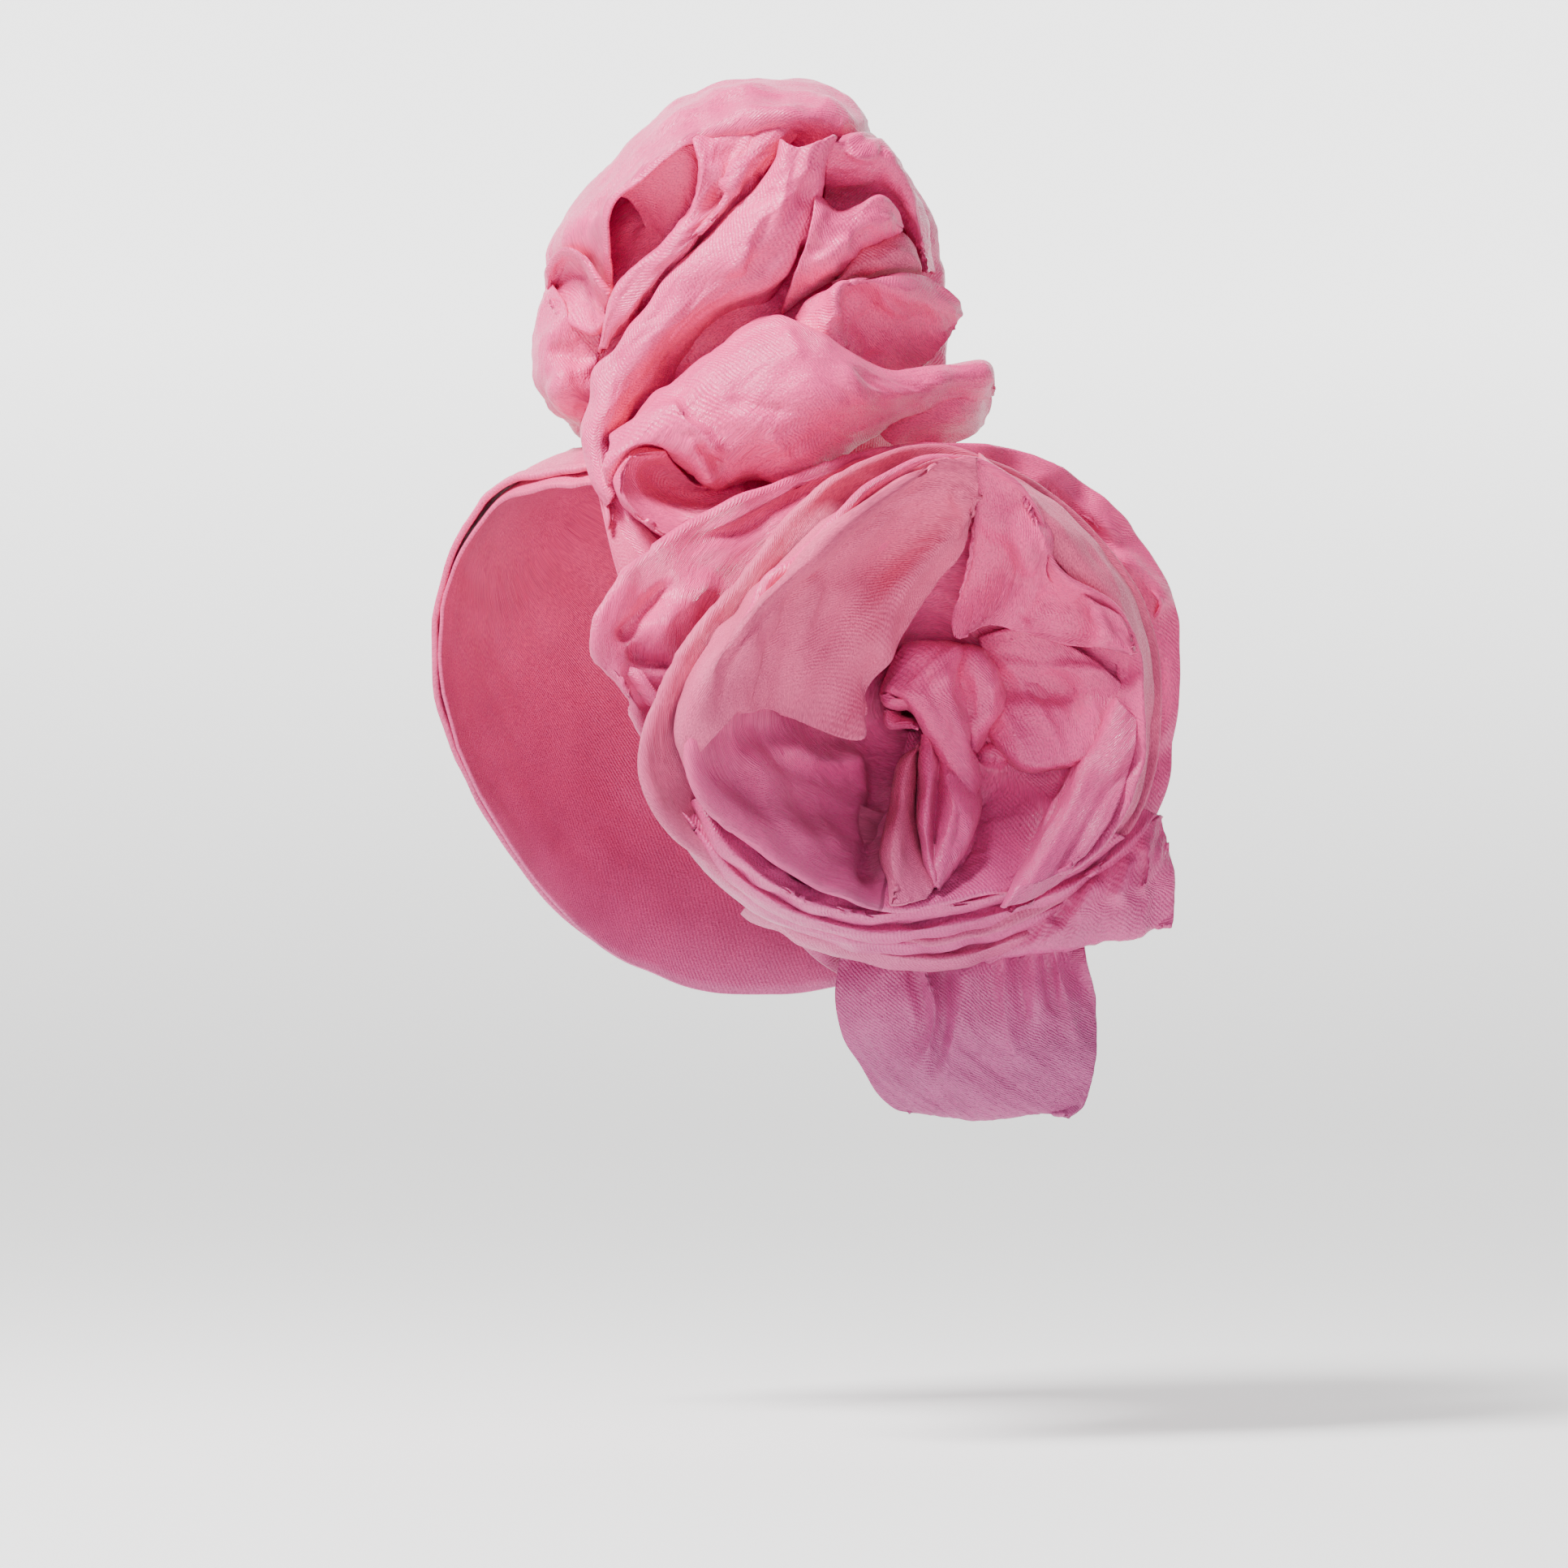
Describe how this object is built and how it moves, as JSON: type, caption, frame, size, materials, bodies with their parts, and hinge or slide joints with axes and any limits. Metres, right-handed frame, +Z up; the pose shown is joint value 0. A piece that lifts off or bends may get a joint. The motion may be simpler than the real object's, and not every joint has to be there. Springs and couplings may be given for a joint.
{
  "type": "tied gele head tie",
  "caption": "Pink satin head tie: a fitted cap, a tall gathered crown with rolled folds over the forehead, and a large folded rosette with hanging loops at the side.",
  "frame": {"origin": "where the crown of the head meets the inside of the cap, at its highest point", "axes": "+Z up out of the top of the head, -Y the way the wearer faces, +X to the wearer's left, where the rosette is"},
  "size_m": [0.2249, 0.2148, 0.358],
  "materials": {
    "cap_satin": "soft satin sheen",
    "brow_band_satin": "soft satin sheen",
    "crown_puff_satin": "soft satin sheen",
    "long_roll_satin": "soft satin sheen",
    "front_scroll_satin": "soft satin sheen",
    "side_leaf_satin": "soft satin sheen",
    "under_lobe_satin": "soft satin sheen",
    "rosette_outer_satin": "soft satin sheen",
    "rosette_middle_satin": "soft satin sheen",
    "rosette_bowl_satin": "soft satin sheen",
    "rosette_left_petal_satin": "soft satin sheen",
    "rosette_right_petal_satin": "soft satin sheen",
    "rosette_knot_satin": "soft satin sheen",
    "rosette_twist_satin": "soft satin sheen",
    "wing_loop_satin": "soft satin sheen",
    "tail_loop_satin": "soft satin sheen"
  },
  "bodies": {
    "root": {"cap": "cap_satin", "brow_band": "brow_band_satin", "crown_puff": "crown_puff_satin", "long_roll": "long_roll_satin", "front_scroll": "front_scroll_satin", "side_leaf": "side_leaf_satin", "under_lobe": "under_lobe_satin", "rosette_outer": "rosette_outer_satin", "rosette_middle": "rosette_middle_satin", "rosette_bowl": "rosette_bowl_satin", "rosette_left_petal": "rosette_left_petal_satin", "rosette_right_petal": "rosette_right_petal_satin", "rosette_knot": "rosette_knot_satin", "rosette_twist": "rosette_twist_satin", "wing_loop": "wing_loop_satin", "tail_loop": "tail_loop_satin"}
  },
  "joints": []
}
